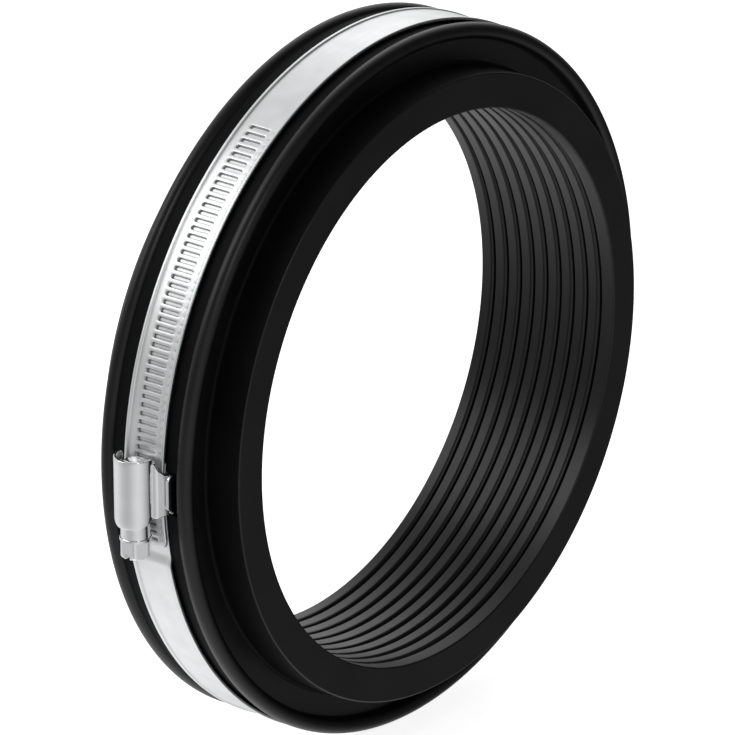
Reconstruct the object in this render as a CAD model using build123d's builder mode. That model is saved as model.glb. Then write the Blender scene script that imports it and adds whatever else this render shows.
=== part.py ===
"""Rubber pipe collar: a moulded ring with a ribbed bore, held on its pipe by a worm-drive clamp.

Millimetres.  The bore axis is Y and the front end faces -Y.  The origin is on that axis, halfway along
the bore.  The clamp's housing is on the -X side, with its screw upright and its head down.  Angles run
from +X towards +Z about the bore axis, and "forward" is the distance towards the front end.
"""
from build123d import *
import math
import os

# ---- collar: driving dimensions ------------------------------------------------------------------
bore_radius = 71.0
hub_radius = 80.0
collar_length = 42.4
web_length = 22.0            # the thick middle of the collar, along the bore
seat_radius = 89.3           # the floor that the band lies on
bead_radius = 2.06           # the round lip at each corner of the thick middle
bead_circle_radius = 88.46
bead_spread = 11.67          # from the middle of the collar to the centre of a bead
groove_count = 9
groove_pitch = 4.24
groove_width = 0.8
groove_depth = 1.2           # also the radius of the rounded corner behind each groove
hub_edge_radius = 0.5
bore_edge_radius = 0.4
web_root_radius = 0.9

# ---- clamp band: one strip, whose threaded tongue laps over its own plain end --------------------
band_width = 12.0
band_thickness = 0.8
band_outer_radius = 90.3
band_forward = 0.6           # the band sits a little nearer the front bead
rim_width = 1.15             # both edges of the strip stand up as a low rim
rim_slope = 0.35
rim_rise = 0.38
tongue_tip_angle = 190.5
tongue_corner_radius = 4.0
joggle_angles = (191.3, 193.3)
plain_end_angle = 175.5
lap_gap = 0.05               # between the tongue and the plain end under it
slots_per_turn = 271         # thread slots that would fit round the whole band
slot_count = 52
first_slot_angle = 120.9
slot_length = 5.9
slot_width = 1.2
slot_depth = 0.45
slot_forward = 0.87

# ---- worm screw ----------------------------------------------------------------------------------
screw_axis_radius = 93.8     # from the bore axis
screw_forward = 0.7
crest_radius = 3.75
core_radius = 3.1
thread_foot_width = 1.0
thread_crest_width = 0.5
thread_turns = 6
thread_root_depth = 0.2      # the thread's foot is sunk this far into the core
worm_top = 8.2
worm_end_chamfer = 0.4
neck_radius = 3.6
neck_top = -6.5
flange_radius = 3.9
flange_top = -11.6
head_top = -12.3
head_bottom = -16.8
head_across_flats = 7.0
head_turn = 35.2             # from +X to one corner of the hexagon
head_chamfer = 0.55
driver_slot_width = 1.3
driver_slot_depth = 1.4
driver_slot_turn = 5.2

# ---- housing: one strip of sheet, bent into a tunnel over the screw and a saddle under the band --
sheet = 0.8
bend_radius = 0.85
seam_radius = 0.55           # bends between the tunnel's limbs and its shoulders
shoulder_bend = 0.75
tunnel_radius = 4.6          # middle of the sheet
tunnel_top = 9.2
tunnel_bottom = -8.2
leg_top = 4.6
leg_bottom = -5.8
shoulder_top = 8.0
shoulder_bottom = -7.0
shoulder_axis_radius = 92.8
front_wall_top = 6.4         # the wall in front of the band leans outwards on its way down
front_wall_forward = 7.5
front_wall_knee = 89.9
front_wall_foot = 89.2
rear_wall_forward = -5.95
saddle_axis_radius = 87.9
saddle_front = 7.6
lip_forward = 8.5
lip_foot = 89.3
lip_tip = 91.2
lip_top = 4.7
lip_bottom = -4.7

# ---- room left in the rubber, which gives way under the clamp ------------------------------------
band_travel = (-4.0, 8.0)    # degrees that the band turns about the bore, loosening and tightening
travel_margin = 1.0
side_room = 0.15
saddle_room = 0.3

# ---- shapes that cut -----------------------------------------------------------------------------
overlap = 1.0                # how far a cutting shape starts outside what it cuts
reach = 30.0                 # longer than anything at the clamp
tolerance = 0.01             # for finding corners by their place

# ---- worked out ----------------------------------------------------------------------------------
band_inner_radius = band_outer_radius - band_thickness
plain_end_inner_radius = band_inner_radius - lap_gap - band_thickness
slot_step = 360 / slots_per_turn
slot_angles = [first_slot_angle + index * slot_step for index in range(slot_count)]
thread_pitch = math.radians(slot_step) * (band_outer_radius - slot_depth / 2)
meshing_angle = min(slot_angles, key=lambda angle: abs(angle - 180))
meshing_height = band_outer_radius * math.sin(math.radians(meshing_angle))
thread_bottom = meshing_height - thread_turns / 2 * thread_pitch


def radial_plane(angle):
    """Half-plane through the bore axis: local x is +Y, and local y points outwards at this angle."""
    turn = math.radians(angle)
    return Plane((0, 0, 0), x_dir=(0, 1, 0), z_dir=(math.sin(turn), 0, -math.cos(turn)))


def outside_plane(angle, radius):
    """Plane touching a cylinder about the bore: local x is +Y, local y the way that angles grow."""
    turn = math.radians(angle)
    outwards = Vector(math.cos(turn), 0, math.sin(turn))
    return Plane(outwards * radius, x_dir=(0, 1, 0), z_dir=outwards)


def screw_plane(height):
    """Horizontal plane with its origin on the axis of the screw."""
    return Plane((-screw_axis_radius, -screw_forward, height))


def at_clamp(radius, forward):
    """Point in a horizontal plane at the clamp, from its distance to the bore axis and forward."""
    return (-radius, -forward)


def strip_section(inner_radius):
    """Draw the section of the band: a flat strip with a low rim along both edges."""
    edge = band_width / 2
    crease = edge - rim_width
    rise = inner_radius + rim_rise
    under = [(-edge, rise), (-crease - rim_slope, rise), (-crease, inner_radius),
             (crease, inner_radius), (crease + rim_slope, rise), (edge, rise)]
    over = [(along, radius + band_thickness) for along, radius in reversed(under)]
    with Locations((-band_forward, 0)):
        Polygon(*under, *over, align=None)


# ---- collar --------------------------------------------------------------------------------------
with BuildPart() as collar:
    with BuildSketch(Plane.YZ) as profile:
        with Locations((0, (bore_radius + hub_radius) / 2)):
            Rectangle(collar_length, hub_radius - bore_radius)
        fillet(profile.vertices().group_by(Axis.Y)[-1], hub_edge_radius)
        fillet(profile.vertices().group_by(Axis.Y)[0], bore_edge_radius)
        with Locations((0, (bore_radius + seat_radius) / 2 + groove_depth)):
            Rectangle(web_length, seat_radius - bore_radius - 2 * groove_depth)
        roots = [corner for corner in profile.vertices()
                 if abs(corner.Y - hub_radius) < tolerance
                 and abs(corner.X) < web_length / 2 + tolerance]
        fillet(roots, web_root_radius)
        with Locations((-bead_spread, bead_circle_radius), (bead_spread, bead_circle_radius)):
            Circle(bead_radius)
        for index in range(groove_count):
            front = (index - (groove_count - 1) / 2) * groove_pitch - groove_width / 2
            back = front + groove_width
            floor = bore_radius + groove_depth
            land = back + groove_depth
            inside = bore_radius - overlap
            with BuildLine():
                Polyline((land, bore_radius), (land, inside), (front, inside), (front, floor), (back, floor))
                CenterArc((land, floor), groove_depth, 180, 90)
            make_face(mode=Mode.SUBTRACT)
    revolve(axis=Axis.Y)
    # rubber pressed down under the plain end of the band, over all of its travel
    pocket_start = joggle_angles[1] + band_travel[1] + travel_margin
    pocket_end = plain_end_angle + band_travel[0] - travel_margin
    with BuildSketch(radial_plane(pocket_start)):
        with Locations((-band_forward, seat_radius)):
            Rectangle(band_width + 2 * side_room, 2 * (seat_radius - plain_end_inner_radius + side_room))
    revolve(axis=Axis.Y, revolution_arc=pocket_start - pocket_end, mode=Mode.SUBTRACT)
    # and under the saddle of the housing, which rests on the bottom of its pocket
    pocket_floor = saddle_axis_radius - sheet / 2
    pocket_front = lip_forward + sheet / 2 + side_room
    pocket_rear = rear_wall_forward - sheet / 2 - saddle_room
    pocket_middle = at_clamp((pocket_floor + bead_circle_radius + bead_radius) / 2,
                             (pocket_front + pocket_rear) / 2)
    with BuildSketch(Plane.XY.offset(leg_bottom - saddle_room)):
        with Locations(pocket_middle):
            Rectangle(bead_circle_radius + bead_radius - pocket_floor, pocket_front - pocket_rear)
    extrude(amount=leg_top - leg_bottom + 2 * saddle_room, mode=Mode.SUBTRACT)

# ---- clamp band ----------------------------------------------------------------------------------
with BuildPart() as clamp_band:
    # the ring and, past its top, the tongue
    with BuildSketch(radial_plane(tongue_tip_angle)):
        strip_section(band_inner_radius)
    revolve(axis=Axis.Y, revolution_arc=360 - joggle_angles[1] + tongue_tip_angle)
    # the corners of the tongue's tip are round
    with BuildSketch(outside_plane(tongue_tip_angle, band_inner_radius - 2 * sheet)):
        with Locations((-band_forward, 0)):
            Rectangle(band_width + 2 * overlap, 2 * tongue_corner_radius)
        with Locations((-band_forward, -reach / 2)):
            RectangleRounded(band_width, reach, tongue_corner_radius, mode=Mode.SUBTRACT)
    extrude(amount=4 * sheet, mode=Mode.SUBTRACT)
    # thread slots pressed into the tongue
    with BuildSketch(*[outside_plane(angle, band_outer_radius - slot_depth) for angle in slot_angles]):
        with Locations((-slot_forward, 0)):
            SlotOverall(slot_length, slot_width)
    extrude(amount=2 * slot_depth, mode=Mode.SUBTRACT)
    # the joggle, which leads from the ring down to the plain end
    with BuildSketch(radial_plane(joggle_angles[1])):
        strip_section(band_inner_radius)
    with BuildSketch(radial_plane(joggle_angles[0])):
        strip_section(plain_end_inner_radius)
    loft(ruled=True)
    # the plain end, under the tongue
    with BuildSketch(radial_plane(joggle_angles[0])):
        strip_section(plain_end_inner_radius)
    revolve(axis=Axis.Y, revolution_arc=joggle_angles[0] - plain_end_angle)

# ---- housing -------------------------------------------------------------------------------------
with BuildPart() as housing:
    front_limb = screw_forward + tunnel_radius
    rear_limb = screw_forward - tunnel_radius
    with BuildSketch(Plane.XY.offset(tunnel_bottom)):
        with BuildLine():
            FilletPolyline(at_clamp(front_wall_foot, front_wall_forward),
                           at_clamp(front_wall_knee, front_wall_forward),
                           at_clamp(shoulder_axis_radius, front_wall_top),
                           at_clamp(shoulder_axis_radius, front_limb),
                           at_clamp(screw_axis_radius, front_limb),
                           radius=[bend_radius, shoulder_bend, seam_radius])
            ThreePointArc(at_clamp(screw_axis_radius, front_limb),
                          at_clamp(screw_axis_radius + tunnel_radius, screw_forward),
                          at_clamp(screw_axis_radius, rear_limb))
            FilletPolyline(at_clamp(screw_axis_radius, rear_limb),
                           at_clamp(shoulder_axis_radius, rear_limb),
                           at_clamp(shoulder_axis_radius, rear_wall_forward),
                           at_clamp(saddle_axis_radius, rear_wall_forward),
                           at_clamp(saddle_axis_radius, saddle_front),
                           at_clamp(lip_foot, lip_forward),
                           at_clamp(lip_tip, lip_forward), radius=bend_radius)
        trace(line_width=sheet)
    extrude(amount=tunnel_top - tunnel_bottom)
    # below the shoulders the strip is shorter than the tunnel
    leg_ceiling = shoulder_axis_radius - bend_radius - sheet / 2
    with BuildSketch(Plane.XZ.offset(-reach / 2)):
        with Locations((-leg_ceiling / 2, 0)):
            Rectangle(leg_ceiling, reach)
        with Locations((-leg_ceiling / 2, (leg_top + leg_bottom) / 2)):
            Rectangle(leg_ceiling, leg_top - leg_bottom, mode=Mode.SUBTRACT)
    extrude(amount=reach, mode=Mode.SUBTRACT)
    # the shoulders slope from the tunnel's length to the legs'
    front_edge = front_limb + sheet / 2
    rear_edge = rear_limb - sheet / 2
    with BuildSketch(Plane.YZ.offset(-screw_axis_radius - tunnel_radius)):
        for edge, wall in ((front_edge, front_wall_forward), (rear_edge, rear_wall_forward)):
            beyond = math.copysign(band_width, wall)
            for shoulder, leg in ((shoulder_top, leg_top), (shoulder_bottom, leg_bottom)):
                far = math.copysign(reach, shoulder)
                Polygon((-edge, far), (-edge, shoulder), (-wall, leg), (-beyond, leg), (-beyond, far),
                        align=None)
    extrude(amount=band_width, mode=Mode.SUBTRACT)
    # the lip that curls up in front of the band is a little shorter again
    with BuildSketch(Plane.YZ.offset(-lip_tip)):
        for edge, beyond in ((lip_top, tunnel_top), (lip_bottom, tunnel_bottom)):
            with Locations((-lip_forward, (edge + beyond) / 2)):
                Rectangle(2 * sheet, abs(beyond - edge))
    extrude(amount=lip_tip - lip_foot, mode=Mode.SUBTRACT)

# ---- worm screw ----------------------------------------------------------------------------------
with BuildPart() as worm_screw:
    # the thread, which passes through the middle of a slot where it faces the band
    with BuildLine(screw_plane(thread_bottom)) as helix:
        Helix(pitch=thread_pitch, height=thread_turns * thread_pitch, radius=core_radius)
    thread_plane = Plane(helix.line @ 0, x_dir=(1, 0, 0), z_dir=helix.line % 0)
    with BuildSketch(thread_plane):
        foot = -thread_root_depth
        crest = crest_radius - core_radius
        Polygon((foot, -thread_foot_width / 2), (crest, -thread_crest_width / 2),
                (crest, thread_crest_width / 2), (foot, thread_foot_width / 2), align=None)
    sweep(path=helix.line, is_frenet=True)
    # the core of the worm
    with BuildSketch(screw_plane(neck_top)):
        Circle(core_radius)
    extrude(amount=worm_top - neck_top)
    chamfer(edges().filter_by(GeomType.CIRCLE).sort_by(Axis.Z)[-1], worm_end_chamfer)
    # neck, flange and hexagon
    with BuildSketch(screw_plane(flange_top)):
        Circle(neck_radius)
    extrude(amount=neck_top - flange_top)
    with BuildSketch(screw_plane(head_top)):
        Circle(flange_radius)
    extrude(amount=flange_top - head_top)
    with BuildSketch(screw_plane(head_bottom)):
        RegularPolygon(head_across_flats / 2, 6, major_radius=False, rotation=head_turn)
    extrude(amount=head_top - head_bottom)
    # the corners of the hexagon are turned off at its end
    corner_radius = head_across_flats / 2 / math.cos(math.radians(30))
    with BuildSketch(Plane((-screw_axis_radius, -screw_forward, head_bottom), x_dir=(1, 0, 0),
                           z_dir=(0, -1, 0))):
        Polygon((corner_radius - 2 * head_chamfer, 0), (corner_radius + head_chamfer, 0),
                (corner_radius + head_chamfer, 1.5 * head_chamfer), align=None)
    revolve(axis=Axis((-screw_axis_radius, -screw_forward, 0), (0, 0, 1)), mode=Mode.SUBTRACT)
    # slot for a flat driver
    with BuildSketch(screw_plane(head_bottom)):
        Rectangle(reach, driver_slot_width, rotation=driver_slot_turn)
    extrude(amount=driver_slot_depth, mode=Mode.SUBTRACT)

# ---- files ---------------------------------------------------------------------------------------
os.makedirs("parts", exist_ok=True)

collar.part.label = "collar"
export_step(collar.part, "parts/collar.step")

clamp_band.part.label = "clamp_band"
export_step(clamp_band.part, "parts/clamp_band.step")

housing.part.label = "housing"
export_step(housing.part, "parts/housing.step")

worm_screw.part.label = "worm_screw"
export_step(worm_screw.part, "parts/worm_screw.step")
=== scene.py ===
"""Looks of a rubber pipe collar with a worm-drive clamp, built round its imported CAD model.

Lengths here are millimetres until a mesh is made.  The bore axis is Y, the front end faces -Y, and
"forward" is the distance towards it.  Angles run from +X towards +Z about the bore axis, in degrees.
"""
import math

import bpy
import numpy as np
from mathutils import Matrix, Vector


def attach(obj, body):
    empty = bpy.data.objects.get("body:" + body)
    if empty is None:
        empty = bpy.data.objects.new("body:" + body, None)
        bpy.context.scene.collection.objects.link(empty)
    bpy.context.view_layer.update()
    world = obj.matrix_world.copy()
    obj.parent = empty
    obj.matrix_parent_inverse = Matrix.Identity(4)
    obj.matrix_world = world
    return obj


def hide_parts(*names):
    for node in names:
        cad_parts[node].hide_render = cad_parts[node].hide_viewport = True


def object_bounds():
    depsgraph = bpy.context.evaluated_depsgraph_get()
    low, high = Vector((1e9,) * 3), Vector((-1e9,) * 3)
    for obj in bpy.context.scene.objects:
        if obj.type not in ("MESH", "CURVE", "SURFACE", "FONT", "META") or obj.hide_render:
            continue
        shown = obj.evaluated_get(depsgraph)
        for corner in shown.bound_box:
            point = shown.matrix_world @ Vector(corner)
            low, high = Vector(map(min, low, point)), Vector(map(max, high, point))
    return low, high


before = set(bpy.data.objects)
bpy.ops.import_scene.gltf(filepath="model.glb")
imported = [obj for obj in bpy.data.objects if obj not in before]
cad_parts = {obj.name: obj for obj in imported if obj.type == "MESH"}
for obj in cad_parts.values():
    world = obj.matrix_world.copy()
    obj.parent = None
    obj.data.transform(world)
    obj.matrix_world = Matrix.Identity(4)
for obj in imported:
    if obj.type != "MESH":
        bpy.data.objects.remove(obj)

MM = 0.001
cad_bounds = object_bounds()

# ---- sizes of the collar -------------------------------------------------------------------------
BORE_RADIUS = 71.0
HUB_RADIUS = 80.0
HALF_LENGTH = 21.2
HALF_WEB = 11.0
SEAT_RADIUS = 89.3
BEAD_RADIUS = 2.06
BEAD_CIRCLE = 88.46
BEAD_SPREAD = 11.67
GROOVE_COUNT = 9
GROOVE_PITCH = 4.24
GROOVE_WIDTH = 0.8
GROOVE_DEPTH = 1.2
COLLAR_STEP = 0.5            # degrees between the columns of the collar's mesh
BORE_EDGE = 0.4
HUB_EDGE = 0.5
WEB_ROOT = 0.9
RIB_EDGE = 0.06              # round edge of a rib, beside its groove

# ---- pockets that the clamp presses into the seat ------------------------------------------------
LAP_ANGLES = (170.5, 202.3)
LAP_FORWARD = (-5.55, 6.75)
LAP_FLOOR = 88.5
SADDLE_HEIGHTS = (-6.1, 4.9)
SADDLE_FORWARD = (-6.65, 9.65)
SADDLE_FLOOR = 87.5
POCKET_WALL = 0.02           # half the width of a pocket's steep wall

# ---- where the rubber is dull: radii, and how far from the end the hub's dull part stops ---------
HUB_DULL = (HUB_RADIUS - 0.3, SEAT_RADIUS - 3)
HUB_DULL_EDGE = 0.2
CHANNEL_DULL = (HUB_RADIUS + 5, SEAT_RADIUS + 0.02)

# ---- sizes of the band ---------------------------------------------------------------------------
BAND_WIDTH = 12.0
BAND_THICKNESS = 0.8
BAND_INNER = 89.5
BAND_FORWARD = 0.6
RIM_RISE = 0.38
RIM_WIDTH = 1.15
LAP_DROP = 0.85              # the plain end lies this much lower than the tongue
TIP_ANGLE = 190.5
TIP_CORNER = 4.0
JOGGLE = (191.3, 193.3)
PLAIN_END = 175.5
SLOT_STEP = 360 / 271
SLOT_COUNT = 52
FIRST_SLOT = 120.9
SLOT_LENGTH = 5.9
SLOT_WIDTH = 1.2
SLOT_DEPTH = 0.6             # deeper than the CAD's 0.45, so that the slots show
SLOT_FORWARD = 0.87

# ---- sizes of the housing ------------------------------------------------------------------------
SCREW_RADIUS = 93.8          # from the bore axis to the screw's
SCREW_FORWARD = 0.7
SHEET = 0.8
BEND = 0.85
SEAM_BEND = 0.55             # between the tunnel's limbs and its shoulders
SHOULDER_BEND = 0.75
TUNNEL_RADIUS = 4.6
TUNNEL_TOP = 9.2
TUNNEL_BOTTOM = -8.2
LEG_TOP = 4.6
LEG_BOTTOM = -5.8
SHOULDER_RADIUS = 92.8
WALL_TOP = 6.4               # the front wall leans outwards on its way down
WALL_FORWARD = 7.5
WALL_KNEE = 89.9
WALL_FOOT = 89.2
REAR_FORWARD = -5.95
SADDLE_RADIUS = 87.9
SADDLE_FRONT = 7.6
LIP_FORWARD = 8.5
LIP_FOOT = 89.3
LIP_TIP = 91.2
LIP_HALF_HEIGHT = 4.7

# ---- sizes of the screw --------------------------------------------------------------------------
CORE_RADIUS = 3.1
CREST_RADIUS = 3.75
NECK_RADIUS = 3.6
FLANGE_RADIUS = 3.9
WORM_TOP = 8.2
NECK_TOP = -6.5
FLANGE_TOP = -11.6
HEAD_TOP = -12.3
HEAD_BOTTOM = -16.8
ACROSS_FLATS = 7.0
HEAD_TURN = 35.2
DRIVER_SLOT = (1.3, 1.4)     # its width and its depth
DRIVER_TURN = 5.2
THREAD_TURNS = 6


# ---- meshes --------------------------------------------------------------------------------------
def make_piece(name, points, faces, body, slot, node, sharp=35.0):
    """Mesh object from points in millimetres, in place of one CAD node."""
    mesh = bpy.data.meshes.new(name)
    mesh.from_pydata([tuple(MM * value for value in point) for point in points], [], faces)
    mesh.validate()
    for polygon in mesh.polygons:
        polygon.use_smooth = True
    mesh.set_sharp_from_angle(angle=math.radians(sharp))
    piece = bpy.data.objects.new(name, mesh)
    bpy.context.scene.collection.objects.link(piece)
    piece.data.materials.append(MATERIALS[slot])
    flatten_shading(piece)
    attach(piece, body)
    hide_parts(node)
    return piece


def flatten_shading(piece):
    """Weight the normals by area, so that flat faces stay flat beside small round edges."""
    modifier = piece.modifiers.new("normals", "WEIGHTED_NORMAL")
    modifier.keep_sharp = True
    modifier.weight = 80


def arc(centre, radius, start, end, count):
    """Points of an arc, both ends included, from its angles in degrees."""
    turns = np.radians(np.linspace(start, end, count + 1))
    return [(centre[0] + radius * math.cos(t), centre[1] + radius * math.sin(t)) for t in turns]


def about_bore(radius, angle, y):
    """Point at a radius and an angle about the bore axis."""
    turn = math.radians(angle)
    return (radius * math.cos(turn), y, radius * math.sin(turn))


# ---- collar --------------------------------------------------------------------------------------
def collar_outside():
    """Half of the collar's outside as (forward, radius), from the end face's inner edge to the seat."""
    under = math.degrees(math.acos((BEAD_SPREAD - HALF_WEB) / BEAD_RADIUS))
    top = math.degrees(math.asin((SEAT_RADIUS - BEAD_CIRCLE) / BEAD_RADIUS))
    points = arc((HALF_LENGTH - BORE_EDGE, BORE_RADIUS + BORE_EDGE), BORE_EDGE, -90, 0, 6)
    points += arc((HALF_LENGTH - HUB_EDGE, HUB_RADIUS - HUB_EDGE), HUB_EDGE, 0, 90, 8)
    points += arc((HALF_WEB + WEB_ROOT, HUB_RADIUS + WEB_ROOT), WEB_ROOT, 270, 180, 8)
    points += arc((BEAD_SPREAD, BEAD_CIRCLE), BEAD_RADIUS, under - 180, 180 - top, 56)
    return points


def collar_bore():
    """The ribbed bore as (forward, radius), from the rear end to the front end."""
    points = []
    for index in reversed(range(GROOVE_COUNT)):
        front = (index - (GROOVE_COUNT - 1) / 2) * GROOVE_PITCH - GROOVE_WIDTH / 2
        back = front + GROOVE_WIDTH
        floor = BORE_RADIUS + GROOVE_DEPTH
        groove = arc((back + GROOVE_DEPTH, floor), GROOVE_DEPTH, 270, 180, 10)
        groove += [(front, floor)]
        groove += arc((front - RIB_EDGE, BORE_RADIUS + RIB_EDGE), RIB_EDGE, 0, -90, 3)
        points += [(-y, radius) for y, radius in groove]
    return points


def within(limits, value):
    return limits[0] < value < limits[1]


def seat_radius(angle, forward):
    """Radius of the seat under the clamp, with the pockets that its lap and its saddle press into it."""
    radius = SEAT_RADIUS
    if within(LAP_ANGLES, angle) and within(LAP_FORWARD, forward):
        radius = LAP_FLOOR
    height = SEAT_RADIUS * math.sin(math.radians(angle))
    if angle > 90 and within(SADDLE_HEIGHTS, height) and within(SADDLE_FORWARD, forward):
        radius = SADDLE_FLOOR / abs(math.cos(math.radians(angle)))
    return radius


def is_dull(radius, forward):
    """Whether the rubber is dull at a place: on the hub and in the channel between the beads."""
    on_hub = within(HUB_DULL, radius) and within((HALF_WEB, HALF_LENGTH - HUB_DULL_EDGE), forward)
    return on_hub or within(CHANNEL_DULL, radius) and forward < HALF_WEB


def build_collar():
    half = collar_outside()
    stations = sorted(edge + side * POCKET_WALL for edge in LAP_FORWARD + SADDLE_FORWARD
                      for side in (-1, 1))
    seat_start = len(half)
    seat = [(station, SEAT_RADIUS) for station in reversed(stations)]
    rear_half = [(-forward, radius) for forward, radius in reversed(half)]
    profile = half + seat + rear_half + collar_bore()
    seat_rows = range(seat_start, seat_start + len(seat))
    drop, rise = (math.degrees(math.asin(height / SEAT_RADIUS)) for height in SADDLE_HEIGHTS)
    edges = LAP_ANGLES + (180 - rise, 180 - drop)
    angles = set(np.arange(0, 360, COLLAR_STEP).tolist())
    angles |= {edge + side * POCKET_WALL for edge in edges for side in (-1, 1)}
    angles = sorted(angles)
    points = []
    for angle in angles:
        for row, (forward, radius) in enumerate(profile):
            if row in seat_rows:
                radius = seat_radius(angle, forward)
            points.append(about_bore(radius, angle, -forward))
    rows = len(profile)
    columns = len(angles)
    faces = []
    for column in range(columns):
        here = column * rows
        there = (column + 1) % columns * rows
        for row in range(rows):
            after = (row + 1) % rows
            faces.append((here + row, there + row, there + after, here + after))
    collar = make_piece("rubber_collar", points, faces, "base", "rubber", "collar")
    collar.data.materials.append(DULL_RUBBER)
    for polygon in collar.data.polygons:
        forward = abs(polygon.center.y) / MM
        radius = math.hypot(polygon.center.x, polygon.center.z) / MM
        if is_dull(radius, forward):
            polygon.material_index = 1
    return collar


# ---- clamp band ----------------------------------------------------------------------------------
class Strip:
    """Mesh of the band: points keyed by place along it, across it and through it, so that they join."""

    def __init__(self):
        self.points = []
        self.index = {}
        self.faces = []

    def point(self, along, across, height):
        key = (round(along, 4), round(across, 4), round(height, 4))
        if key not in self.index:
            self.index[key] = len(self.points)
            self.points.append((along, across, height))
        return self.index[key]

    def face(self, *corners):
        found = [self.point(*corner) for corner in corners]
        if len(set(found)) == len(found):
            self.faces.append(found)


def rim_height(across):
    """Height of the strip's lower side: a low rim along both edges."""
    slope = 0.4
    inwards = (BAND_WIDTH / 2 - abs(across) - (RIM_WIDTH - slope)) / slope
    share = min(max(inwards, 0.0), 1.0)
    return RIM_RISE * (1 - share * share * (3 - 2 * share))


SIDE_SEGMENTS = 6            # along the straight side of a slot
END_SEGMENTS = 12            # round each end of a slot
COLUMN_SEGMENTS = 8          # of the tile round a slot, along the band
TILE_MARGIN = 0.5            # between the end of a slot and the end of its tile


def tile_border():
    """Points round a slot's tile and round its stadium, matched one to one, as shares and lengths."""
    half_slot = SLOT_WIDTH / 2
    straight = SLOT_LENGTH / 2 - half_slot
    half_pitch = 0.5
    tile_end = SLOT_LENGTH / 2 + TILE_MARGIN
    corner = (END_SEGMENTS - COLUMN_SEGMENTS) // 2
    rectangle = []
    stadium = []
    for end in (1, -1):
        for step in range(SIDE_SEGMENTS):
            across = -end * straight + end * 2 * straight * step / SIDE_SEGMENTS
            rectangle.append((end * half_pitch, across))
            stadium.append((end * half_slot, across, end, 0))
        for step in range(END_SEGMENTS):
            turn = math.pi * step / END_SEGMENTS
            normal = (end * math.cos(turn), end * math.sin(turn))
            if step <= corner:
                spot = (end * half_pitch, end * (straight + (tile_end - straight) * step / corner))
            elif step < END_SEGMENTS - corner:
                share = (step - corner) / COLUMN_SEGMENTS
                spot = (end * half_pitch * (1 - 2 * share), end * tile_end)
            else:
                share = (END_SEGMENTS - step) / corner
                spot = (-end * half_pitch, end * (straight + (tile_end - straight) * share))
            rectangle.append(spot)
            stadium.append((half_slot * normal[0], end * straight + half_slot * normal[1],
                            normal[0], normal[1]))
    return rectangle, stadium


def across_stations():
    """Where the strip's section has points, from the rear edge to the front edge."""
    edge = BAND_WIDTH / 2
    straight = SLOT_LENGTH / 2 - SLOT_WIDTH / 2
    tile_end = SLOT_LENGTH / 2 + TILE_MARGIN
    centre = SLOT_FORWARD - BAND_FORWARD
    tile = [-tile_end, -(tile_end + straight) / 2]
    tile += list(np.linspace(-straight, straight, SIDE_SEGMENTS + 1))
    tile += [(tile_end + straight) / 2, tile_end]
    tile = [centre + station for station in tile]
    rim = list(np.linspace(edge - RIM_WIDTH, edge - RIM_WIDTH + 0.4, 7))
    rim += [edge - 0.5, edge - 0.22]
    stations = sorted([-station for station in rim] + [tile[0] - 0.7] + tile + [tile[-1] + 0.5] + rim)
    return stations, stations.index(tile[0]), stations.index(tile[-1])


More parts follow.
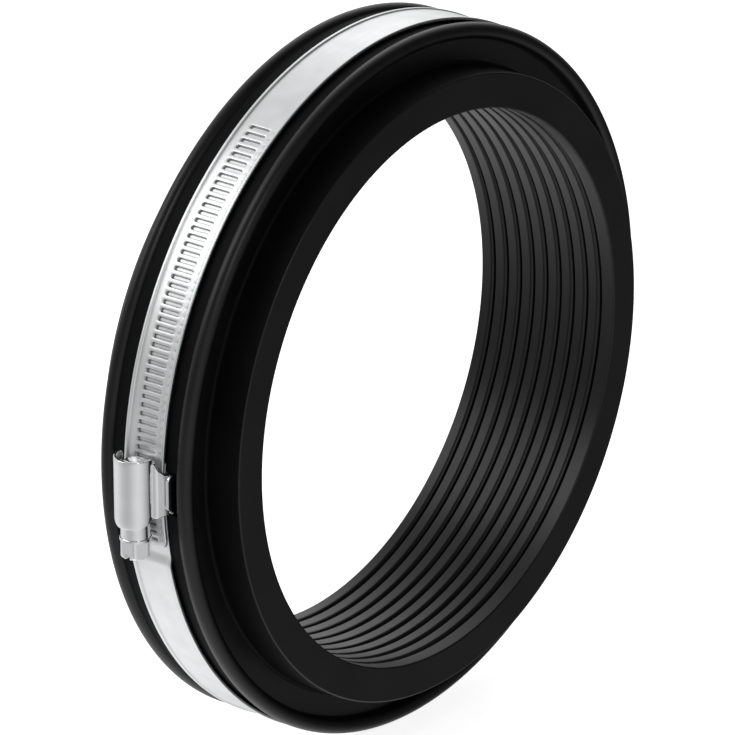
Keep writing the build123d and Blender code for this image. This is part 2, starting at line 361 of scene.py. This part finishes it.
def build_band():
    strip = Strip()
    edge = BAND_WIDTH / 2
    bend = 0.22
    arc_length = math.radians(SLOT_STEP) * (BAND_INNER + BAND_THICKNESS)
    stations, tile_low, tile_high = across_stations()

    def dimple(along_slot, across):
        """Shallow marks along the front rim, one for each slot."""
        reach = (along_slot * arc_length / 0.35) ** 2 + ((across - 4.75) / 0.28) ** 2
        return 0.12 * math.exp(-reach)

    def section(angle, drop, along_slot):
        """Closed section of the strip, as points along, across and through."""
        upper = []
        lower = []
        for across in stations:
            height = rim_height(across) - drop
            mark = 0.0 if along_slot is None else dimple(along_slot, across)
            upper.append((angle, across, height + BAND_THICKNESS - mark))
            lower.append((angle, across, height))
        top = RIM_RISE + BAND_THICKNESS - drop
        low = RIM_RISE - drop
        front = [(angle, edge - bend + a, top - bend + b) for a, b in arc((0, 0), bend, 60, 0, 3)]
        front += [(angle, edge - bend + a, low + bend + b) for a, b in arc((0, 0), bend, 0, -60, 3)]
        rear = [(along, -across, height) for along, across, height in reversed(front)]
        return upper + front + lower[::-1] + rear

    columns = []
    first_edge = FIRST_SLOT - SLOT_STEP / 2
    last_edge = first_edge + SLOT_COUNT * SLOT_STEP
    for angle in np.linspace(TIP_ANGLE, last_edge, 5)[:-1]:
        columns.append((angle, 0.0, None))
    for index in reversed(range(SLOT_COUNT)):
        for step in range(COLUMN_SEGMENTS, 0, -1):
            share = step / COLUMN_SEGMENTS
            columns.append((first_edge + (index + share) * SLOT_STEP, 0.0, share - 0.5))
    ring_end = JOGGLE[1] - 360
    for angle in np.linspace(first_edge, ring_end, int((first_edge - ring_end) / 0.6)):
        columns.append((angle, 0.0, -0.5 if angle == first_edge else None))
    for share in np.linspace(0, 1, 9)[1:]:
        drop = LAP_DROP * share * share * (3 - 2 * share)
        columns.append((ring_end - share * (JOGGLE[1] - JOGGLE[0]), drop, None))
    plain_start = JOGGLE[0] - 360
    for angle in np.linspace(plain_start, PLAIN_END - 360, 28)[1:]:
        columns.append((angle, LAP_DROP, None))
    columns = [(round(angle, 6), drop, share) for angle, drop, share in columns]

    sections = [section(*column) for column in columns]
    rows = len(sections[0])
    for (column, here), (after, there) in zip(zip(columns, sections), zip(columns[1:], sections[1:])):
        slotted = column[2] is not None and after[2] is not None
        for row in range(rows):
            if slotted and tile_low <= row < tile_high:
                continue
            nxt = (row + 1) % rows
            strip.face(here[row], here[nxt], there[nxt], there[row])
    strip.faces.append([strip.point(*corner) for corner in reversed(sections[0])])
    strip.faces.append([strip.point(*corner) for corner in sections[-1]])

    rectangle, stadium = tile_border()
    centre = SLOT_FORWARD - BAND_FORWARD
    loops = ((0.05, 0.0), (0.0, 0.02), (-0.03, 0.08), (-0.1, 0.36), (-0.18, SLOT_DEPTH))
    for index in range(SLOT_COUNT):
        middle = FIRST_SLOT + index * SLOT_STEP
        rings = [[(round(middle + share * SLOT_STEP, 6), centre + across, BAND_THICKNESS)
                  for share, across in rectangle]]
        for spread, depth in loops:
            rings.append([(middle + math.degrees((along + spread * na) / (BAND_INNER + BAND_THICKNESS)),
                           centre + across + spread * nb, BAND_THICKNESS - depth)
                          for along, across, na, nb in stadium])
        for outer, inner in zip(rings, rings[1:]):
            for step in range(len(outer)):
                nxt = (step + 1) % len(outer)
                strip.face(outer[step], outer[nxt], inner[nxt], inner[step])
        strip.faces.append([strip.point(*corner) for corner in rings[-1]])

    def place(along, across, height):
        """Bend a point of the flat strip round the bore, with round corners at the tongue's tip."""
        reach = math.radians(TIP_ANGLE - along) * (BAND_INNER + BAND_THICKNESS)
        inset = max(abs(across) - (edge - TIP_CORNER), 0.0)
        cut = TIP_CORNER - math.sqrt(max(TIP_CORNER ** 2 - inset ** 2, 0.0))
        fade = 10.0
        reach += cut * max(1 - reach / fade, 0.0)
        angle = TIP_ANGLE - math.degrees(reach / (BAND_INNER + BAND_THICKNESS))
        return about_bore(BAND_INNER + height, angle, -BAND_FORWARD - across)

    points = [place(*point) for point in strip.points]
    return make_piece("band", points, strip.faces, "band", "band_steel", "clamp_band", sharp=28)


# ---- housing -------------------------------------------------------------------------------------
def rounded_path(corners, radii, segments=8, run=0.6):
    """Open path through corners, with an arc at each and points along its straight runs."""
    corners = [np.array(corner, float) for corner in corners]
    path = [corners[0]]
    for before, corner, after, radius in zip(corners, corners[1:], corners[2:], radii):
        back = (before - corner) / np.linalg.norm(before - corner)
        ahead = (after - corner) / np.linalg.norm(after - corner)
        half = math.acos(float(np.dot(back, ahead))) / 2
        centre = corner + (back + ahead) / np.linalg.norm(back + ahead) * radius / math.sin(half)
        start = corner + back * radius / math.tan(half)
        end = corner + ahead * radius / math.tan(half)
        path += straight_run(path[-1], start, run)
        for share in np.linspace(0, 1, segments + 1)[1:]:
            spoke = (start - centre) * (1 - share) + (end - centre) * share
            path.append(centre + spoke / np.linalg.norm(spoke) * radius)
    path += straight_run(path[-1], corners[-1], run)
    return path


def straight_run(start, end, run):
    """Points from just past the start of a straight run to its end."""
    count = max(int(np.linalg.norm(end - start) / run), 1)
    return [start + (end - start) * step / count for step in range(1, count + 1)]


def smooth_between(stops, value):
    """Value read from (place, value) stops, eased between them."""
    if value <= stops[0][0]:
        return stops[0][1]
    for (low, first), (high, last) in zip(stops, stops[1:]):
        if value <= high:
            share = (value - low) / (high - low)
            return first + (last - first) * share * share * (3 - 2 * share)
    return stops[-1][1]


def housing_path():
    """Middle of the sheet as (radius, forward), from the front wall's foot to the lip's tip."""
    front = SCREW_FORWARD + TUNNEL_RADIUS
    rear = SCREW_FORWARD - TUNNEL_RADIUS
    path = rounded_path([(WALL_FOOT, WALL_FORWARD), (WALL_KNEE, WALL_FORWARD),
                         (SHOULDER_RADIUS, WALL_TOP), (SHOULDER_RADIUS, front), (SCREW_RADIUS, front)],
                        (BEND, SHOULDER_BEND, SEAM_BEND))
    tunnel_start = len(path) - 1
    path += [np.array((SCREW_RADIUS + b, SCREW_FORWARD + a))
             for a, b in arc((0, 0), TUNNEL_RADIUS, 0, 180, 48)[1:]]
    tunnel_end = len(path) - 1
    path += rounded_path([(SCREW_RADIUS, rear), (SHOULDER_RADIUS, rear), (SHOULDER_RADIUS, REAR_FORWARD),
                          (SADDLE_RADIUS, REAR_FORWARD), (SADDLE_RADIUS, SADDLE_FRONT),
                          (LIP_FOOT, LIP_FORWARD), (LIP_TIP, LIP_FORWARD)],
                         (SEAM_BEND, BEND, BEND, BEND, BEND))[1:]
    return path, tunnel_start, tunnel_end


def build_housing():
    path, tunnel_start, tunnel_end = housing_path()
    steps = [0.0] + [float(np.linalg.norm(b - a)) for a, b in zip(path, path[1:])]
    place = np.cumsum(steps)
    start = place[tunnel_start]
    end = place[tunnel_end]
    total = place[-1]
    tops = [(start - 4.2, LEG_TOP), (start - 2.6, 5.8), (start - 1.2, 8.0), (start - 0.3, TUNNEL_TOP),
            (end + 0.3, TUNNEL_TOP), (end + 1.2, 7.0), (end + 3.4, LEG_TOP),
            (total - 2.4, LEG_TOP), (total - 1.2, LIP_HALF_HEIGHT), (total, 3.6)]
    bottoms = [(start - 4.0, LEG_BOTTOM), (start - 1.2, -6.1), (start, -6.5), (start + 1.2, -7.5),
               (start + 3.0, TUNNEL_BOTTOM), (end - 6.4, TUNNEL_BOTTOM), (end - 3.1, -6.9), (end, -6.4),
               (end + 3.4, LEG_BOTTOM), (total - 2.4, LEG_BOTTOM), (total - 1.2, -LIP_HALF_HEIGHT),
               (total, -3.8)]
    half = SHEET / 2
    edge = 0.22
    points = []
    rows = None
    for index, spot in enumerate(path):
        before = path[max(index - 1, 0)]
        after = path[min(index + 1, len(path) - 1)]
        along = (after - before) / np.linalg.norm(after - before)
        normal = np.array((along[1], -along[0]))
        top = smooth_between(tops, place[index])
        bottom = smooth_between(bottoms, place[index])
        levels = np.linspace(bottom + edge, top - edge, 14)
        outline = [(half, level) for level in levels]
        outline += arc((half - edge, top - edge), edge, 0, 90, 4)[1:]
        outline += arc((edge - half, top - edge), edge, 90, 180, 4)
        outline += [(-half, level) for level in levels[::-1][1:]]
        outline += arc((edge - half, bottom + edge), edge, 180, 270, 4)[1:]
        outline += arc((half - edge, bottom + edge), edge, 270, 360, 4)[:-1]
        rows = len(outline)
        for offset, level in outline:
            radius, forward = spot + normal * offset
            points.append((-radius, -forward, level))
    faces = []
    for column in range(len(path) - 1):
        here = column * rows
        there = here + rows
        for row in range(rows):
            after = (row + 1) % rows
            faces.append((here + row, here + after, there + after, there + row))
    faces.append(list(range(rows))[::-1])
    faces.append([len(points) - rows + row for row in range(rows)])
    return make_piece("clamp_housing", points, faces, "base", "housing_steel", "housing", sharp=40)


# ---- screw ---------------------------------------------------------------------------------------
RING_POINTS = 72


def hexagon_radius(angle, soften=0.25):
    """Radius of the head's outline at an angle, with slightly round corners."""
    flat = ACROSS_FLATS / 2
    side = (angle - HEAD_TURN) % 60 - 30
    sharp = flat / math.cos(math.radians(side))
    corner = flat / math.cos(math.radians(30))
    return min(sharp, corner - soften * 0.4)


def screw_levels():
    """Rings of the screw from its top end to the end of its head: height, radius, and if hexagonal."""
    dome = 1.3
    levels = [(WORM_TOP, 0.0, False)]
    levels += [(WORM_TOP - dome + dome * math.sin(turn), CORE_RADIUS * math.cos(turn) ** 0.6, False)
               for turn in np.linspace(math.pi / 2, 0, 12)[1:]]
    levels += [(NECK_TOP, CORE_RADIUS, False)]
    levels += [(NECK_TOP - 0.2 + b, NECK_RADIUS - 0.2 + a, False) for a, b in arc((0, 0), 0.2, 90, 0, 4)]
    levels += [(FLANGE_TOP, NECK_RADIUS, False)]
    levels += [(FLANGE_TOP - 0.15 + b, FLANGE_RADIUS - 0.15 + a, False)
               for a, b in arc((0, 0), 0.15, 90, 0, 3)]
    levels += [(HEAD_TOP, FLANGE_RADIUS, False)]
    levels += [(HEAD_TOP, FLANGE_RADIUS, True), (HEAD_BOTTOM + 1.1, FLANGE_RADIUS + 1, True)]
    levels += [(HEAD_BOTTOM + 0.75, 3.98, True), (HEAD_BOTTOM + 0.4, 3.72, True),
               (HEAD_BOTTOM + 0.12, 3.42, True), (HEAD_BOTTOM, 3.2, True), (HEAD_BOTTOM, 0.0, True)]
    return levels


def build_thread(points, faces):
    """Helical ridge, with its ends run down into the core."""
    slots = [FIRST_SLOT + index * SLOT_STEP for index in range(SLOT_COUNT)]
    meshing = min(slots, key=lambda angle: abs(angle - 180))
    pitch = math.radians(SLOT_STEP) * (BAND_INNER + BAND_THICKNESS - SLOT_DEPTH / 2)
    middle = (BAND_INNER + BAND_THICKNESS) * math.sin(math.radians(meshing))
    bottom = middle - THREAD_TURNS / 2 * pitch
    steps = THREAD_TURNS * 60
    first = len(points)
    for step in range(steps + 1):
        turn = 2 * math.pi * step / 60
        fade = min(step, steps - step, 20) / 20
        crest = CORE_RADIUS - 0.1 + (CREST_RADIUS - CORE_RADIUS + 0.1) * fade
        height = bottom + pitch * step / 60
        section = [(CORE_RADIUS - 0.3, -0.5), (crest - 0.12, -0.27), (crest, -0.15), (crest, 0.15),
                   (crest - 0.12, 0.27), (CORE_RADIUS - 0.3, 0.5)]
        for radius, rise in section:
            points.append((radius * math.cos(turn), radius * math.sin(turn), height + rise))
    rows = 6
    for step in range(steps):
        here = first + step * rows
        there = here + rows
        for row in range(rows):
            after = (row + 1) % rows
            faces.append((here + row, there + row, there + after, here + after))
    faces.append([first + row for row in range(rows)])
    faces.append([first + steps * rows + row for row in reversed(range(rows))])


def build_screw():
    points = []
    faces = []
    previous = None
    for height, radius, hexagonal in screw_levels():
        ring = []
        if radius == 0:
            ring = [len(points)]
            points.append((0, 0, height))
        else:
            for step in range(RING_POINTS):
                angle = HEAD_TURN + 360 * step / RING_POINTS
                reach = min(radius, hexagon_radius(angle)) if hexagonal else radius
                ring.append(len(points))
                points.append((reach * math.cos(math.radians(angle)),
                               reach * math.sin(math.radians(angle)), height))
        if previous:
            for step in range(RING_POINTS):
                nxt = (step + 1) % RING_POINTS
                if len(previous) == 1:
                    faces.append((previous[0], ring[step], ring[nxt]))
                elif len(ring) == 1:
                    faces.append((previous[nxt], previous[step], ring[0]))
                else:
                    faces.append((previous[step], ring[step], ring[nxt], previous[nxt]))
        previous = ring
    build_thread(points, faces)
    points = [(x - SCREW_RADIUS, y - SCREW_FORWARD, z) for x, y, z in points]
    screw = make_piece("screw", points, faces, "screw", "screw_steel", "worm_screw", sharp=24)
    cut_driver_slot(screw)
    return screw


def cut_driver_slot(screw):
    """Cut the slot for a flat driver across the end of the head."""
    width, depth = DRIVER_SLOT
    turn = math.radians(DRIVER_TURN)
    along = Vector((math.cos(turn), math.sin(turn), 0)) * 8
    side = Vector((-math.sin(turn), math.cos(turn), 0)) * width / 2
    centre = Vector((-SCREW_RADIUS, -SCREW_FORWARD, 0))
    corners = []
    for level in (HEAD_BOTTOM - 1, HEAD_BOTTOM + depth):
        for a, b in ((-1, -1), (1, -1), (1, 1), (-1, 1)):
            corners.append((centre + a * along + b * side + Vector((0, 0, level))) * MM)
    mesh = bpy.data.meshes.new("driver_slot")
    mesh.from_pydata([tuple(corner) for corner in corners], [],
                     [(0, 3, 2, 1), (4, 5, 6, 7), (0, 1, 5, 4), (1, 2, 6, 5), (2, 3, 7, 6), (3, 0, 4, 7)])
    cutter = bpy.data.objects.new("driver_slot", mesh)
    bpy.context.scene.collection.objects.link(cutter)
    screw.modifiers.clear()
    modifier = screw.modifiers.new("slot", "BOOLEAN")
    modifier.operation = "DIFFERENCE"
    modifier.object = cutter
    modifier.solver = "EXACT"
    modifier.use_self = True
    graph = bpy.context.evaluated_depsgraph_get()
    cut = bpy.data.meshes.new_from_object(screw.evaluated_get(graph))
    screw.modifiers.clear()
    screw.data = cut
    screw.data.set_sharp_from_angle(angle=math.radians(24))
    flatten_shading(screw)
    bpy.data.objects.remove(cutter)


# ---- materials -----------------------------------------------------------------------------------
CORNER_SHADE_REACH = 0.55           # how far from a corner its painted shade reaches
# colour of the painted shade in corners and slots
CORNER_SHADE_COLOUR = (0.10, 0.105, 0.11, 1)


def new_material(name, base, metallic, roughness):
    material = bpy.data.materials.new(name)
    material.use_nodes = True
    shader = material.node_tree.nodes["Principled BSDF"]
    shader.inputs["Base Color"].default_value = (*base, 1)
    shader.inputs["Metallic"].default_value = metallic
    shader.inputs["Roughness"].default_value = roughness
    return material, material.node_tree, shader


def math_node(tree, operation, first, second):
    """Output of a math node whose inputs are outputs of other nodes, or numbers."""
    node = tree.nodes.new("ShaderNodeMath")
    node.operation = operation
    for socket, value in zip(node.inputs, (first, second)):
        if isinstance(value, (int, float)):
            socket.default_value = value
        else:
            tree.links.new(value, socket)
    return node.outputs[0]


def object_place(tree):
    return tree.nodes.new("ShaderNodeTexCoord").outputs["Object"]


def place_along_band(tree):
    """Place unrolled round the bore: distance along the band, distance along the bore, and radius."""
    parts = tree.nodes.new("ShaderNodeSeparateXYZ")
    tree.links.new(object_place(tree), parts.inputs[0])
    x, y, z = parts.outputs
    turn = math_node(tree, "ARCTAN2", z, x)
    along = math_node(tree, "MULTIPLY", turn, (BAND_INNER + BAND_THICKNESS) * MM)
    joined = tree.nodes.new("ShaderNodeCombineXYZ")
    tree.links.new(along, joined.inputs[0])
    tree.links.new(y, joined.inputs[1])
    return joined.outputs[0]


def noise(tree, place, scale, detail, stretch=(1, 1, 1)):
    """Noise at a place, stretched along its axes."""
    mapping = tree.nodes.new("ShaderNodeMapping")
    mapping.inputs["Scale"].default_value = stretch
    texture = tree.nodes.new("ShaderNodeTexNoise")
    texture.inputs["Scale"].default_value = scale
    texture.inputs["Detail"].default_value = detail
    tree.links.new(place, mapping.inputs["Vector"])
    tree.links.new(mapping.outputs["Vector"], texture.inputs["Vector"])
    return texture.outputs["Fac"]


def spread(tree, value, low, high):
    """Map a noise value to a range."""
    ramp = tree.nodes.new("ShaderNodeMapRange")
    ramp.inputs["From Min"].default_value = 0.3
    ramp.inputs["From Max"].default_value = 0.7
    ramp.inputs["To Min"].default_value = low
    ramp.inputs["To Max"].default_value = high
    tree.links.new(value, ramp.inputs["Value"])
    return ramp.outputs["Result"]


def tint(tree, value, dark, light):
    """Colour between two greys, chosen by a noise value."""
    blend = tree.nodes.new("ShaderNodeMix")
    blend.data_type = "RGBA"
    factor, first, second = (blend.inputs[index] for index in (0, 6, 7))
    first.default_value = (*dark, 1)
    second.default_value = (*light, 1)
    tree.links.new(spread(tree, value, 0, 1), factor)
    return blend.outputs[2]


def paint_corner_shade(tree, colour):
    """Painted shade where the metal is pressed into a corner or a slot: the colour darkens where ambient
    occlusion finds nearby surfaces.
    """
    nook = tree.nodes.new("ShaderNodeAmbientOcclusion")
    nook.samples = 8
    nook.inputs["Distance"].default_value = CORNER_SHADE_REACH * MM
    depth = tree.nodes.new("ShaderNodeMapRange")
    depth.inputs["From Min"].default_value = 0.5
    depth.inputs["From Max"].default_value = 0.92
    tree.links.new(nook.outputs["AO"], depth.inputs["Value"])
    blend = tree.nodes.new("ShaderNodeMix")
    blend.data_type = "RGBA"
    blend.inputs[6].default_value = CORNER_SHADE_COLOUR
    tree.links.new(depth.outputs["Result"], blend.inputs[0])
    tree.links.new(colour, blend.inputs[7])
    return blend.outputs[2]


def bumps(tree, shader, *layers):
    """Stack bumps of (height, distance in metres, strength) on a shader."""
    normal = None
    for height, distance, strength in layers:
        node = tree.nodes.new("ShaderNodeBump")
        node.inputs["Strength"].default_value = strength
        node.inputs["Distance"].default_value = distance
        tree.links.new(height, node.inputs["Height"])
        if normal:
            tree.links.new(normal, node.inputs["Normal"])
        normal = node.outputs["Normal"]
    tree.links.new(normal, shader.inputs["Normal"])


def rubber_material(name, gloss, rough):
    """Moulded black rubber: a fine mould grain, faint flow marks and dull patches."""
    material, tree, shader = new_material(name, (0.0018, 0.0018, 0.002), 0.0, rough)
    shader.inputs["Specular IOR Level"].default_value = gloss
    place = object_place(tree)
    grain = noise(tree, place, 2600, 3)
    patches = noise(tree, place, 60, 4)
    tree.links.new(tint(tree, patches, (0.0012, 0.0012, 0.0013), (0.0024, 0.0024, 0.0027)),
                   shader.inputs["Base Color"])
    tree.links.new(spread(tree, patches, rough - 0.03, rough + 0.03), shader.inputs["Roughness"])
    bumps(tree, shader, (patches, 0.00006, 0.12), (grain, 0.00002, 0.18))
    return material


def steel_material(name, dark, light, rough, stretch, rolled=False):
    """Rolled or drawn steel: lines along the way it was worked, and faint dull patches."""
    material, tree, shader = new_material(name, light, 1.0, rough)
    place = place_along_band(tree) if rolled else object_place(tree)
    lines = noise(tree, place, 2400, 3, stretch)
    patches = noise(tree, place, 150, 3)
    colour = tint(tree, patches, dark, light)
    if rolled:
        # painted shade in the band's corners and slots
        colour = paint_corner_shade(tree, colour)
    tree.links.new(colour, shader.inputs["Base Color"])
    tree.links.new(spread(tree, lines, rough - 0.03, rough + 0.04), shader.inputs["Roughness"])
    bumps(tree, shader, (lines, 0.000004, 0.3))
    return material


DULL_RUBBER = rubber_material("dull_black_rubber", 0.1, 0.6)
MATERIALS = {
    "rubber": rubber_material("black_rubber", 0.38, 0.36),
    "band_steel": steel_material("band_steel", (0.76, 0.77, 0.775), (0.84, 0.845, 0.85), 0.42,
                                 (0.04, 1, 1), rolled=True),
    "housing_steel": steel_material("housing_steel", (0.80, 0.81, 0.82), (0.86, 0.865, 0.87), 0.17,
                                    (1, 1, 0.05)),
    "screw_steel": steel_material("screw_steel", (0.78, 0.79, 0.80), (0.85, 0.855, 0.86), 0.19,
                                  (0.12, 0.12, 1)),
}

build_collar()
build_band()
build_housing()
build_screw()

# ---- camera --------------------------------------------------------------------------------------
AZIMUTH = math.radians(-51.80)
ELEVATION = math.radians(22.77)
DISTANCE = 1460.9 * MM
forward = Vector((-math.sin(AZIMUTH) * math.cos(ELEVATION), math.cos(AZIMUTH) * math.cos(ELEVATION),
                  -math.sin(ELEVATION)))
right = Vector((math.cos(AZIMUTH), math.sin(AZIMUTH), 0))
down = forward.cross(right)
aim = -2.37 * MM * right - 0.46 * MM * down
camera_data = bpy.data.cameras.new("camera")
camera_data.lens = 288.0
camera_data.sensor_width = 36.0
camera_data.clip_end = 20
camera = bpy.data.objects.new("camera", camera_data)
camera.location = aim - forward * DISTANCE
camera.rotation_euler = forward.to_track_quat("-Z", "Y").to_euler()
bpy.context.scene.collection.objects.link(camera)
bpy.context.scene.camera = camera


# ---- floor and lights ----------------------------------------------------------------------------
FLOOR_SIZE = 6.0             # metres from its middle to each side
FLOOR_GLOW = 0.8


def build_floor():
    """Pale glowing floor, which neither shows in gloss nor blocks the light from below."""
    size = FLOOR_SIZE
    level = cad_bounds[0][2]
    mesh = bpy.data.meshes.new("floor")
    mesh.from_pydata([(-size, -size, level), (size, -size, level), (size, size, level),
                      (-size, size, level)], [], [(0, 1, 2, 3)])
    floor = bpy.data.objects.new("floor", mesh)
    bpy.context.scene.collection.objects.link(floor)
    material, tree, shader = new_material("floor", (0.95, 0.95, 0.95), 0.0, 0.9)
    shader.inputs["Emission Color"].default_value = (1, 1, 1, 1)
    shader.inputs["Emission Strength"].default_value = FLOOR_GLOW
    floor.data.materials.append(material)
    floor.visible_glossy = False
    floor.visible_shadow = False


def towards(azimuth, elevation):
    """Unit vector at an azimuth about +Z, from +X towards +Y, and an elevation, in degrees."""
    a = math.radians(azimuth)
    e = math.radians(elevation)
    return Vector((math.cos(a) * math.cos(e), math.sin(a) * math.cos(e), math.sin(e)))


def area_light(name, azimuth, elevation, distance, width, height, power):
    """Rectangular light that looks at the origin."""
    data = bpy.data.lights.new(name, "AREA")
    data.shape = "RECTANGLE"
    data.size = width
    data.size_y = height
    data.energy = power
    lamp = bpy.data.objects.new(name, data)
    place = towards(azimuth, elevation) * distance
    lamp.location = place
    lamp.rotation_euler = (-place).to_track_quat("-Z", "Y").to_euler()
    bpy.context.scene.collection.objects.link(lamp)


def build_world(level, lobes):
    """Soft surround: a level, with wide glows added at an azimuth and an elevation."""
    world = bpy.data.worlds.new("studio")
    world.use_nodes = True
    tree = world.node_tree
    direction = tree.nodes.new("ShaderNodeTexCoord").outputs["Generated"]
    total = level
    for azimuth, elevation, sharpness, strength in lobes:
        dot = tree.nodes.new("ShaderNodeVectorMath")
        dot.operation = "DOT_PRODUCT"
        dot.inputs[1].default_value = towards(azimuth, elevation)
        tree.links.new(direction, dot.inputs[0])
        facing = math_node(tree, "MAXIMUM", dot.outputs["Value"], 0.0)
        glow = math_node(tree, "POWER", facing, float(sharpness))
        total = math_node(tree, "ADD", total, math_node(tree, "MULTIPLY", glow, strength))
    tree.links.new(total, tree.nodes["Background"].inputs["Color"])
    bpy.context.scene.world = world


build_floor()
area_light("back_top", 130, 40, 1.6, 1.0, 1.0, 6)
area_light("front_key", 238, 36, 1.6, 0.35, 0.35, 2.5)
build_world(0.03, ((100, -30, 2, 0.75), (0, -90, 3, 0.9), (38, 25, 6, 1.35), (120, 60, 3, 0.5),
                   (200, -15, 3, 0.38), (255, -10, 3, 0.6)))
bpy.context.scene.view_settings.view_transform = "Standard"
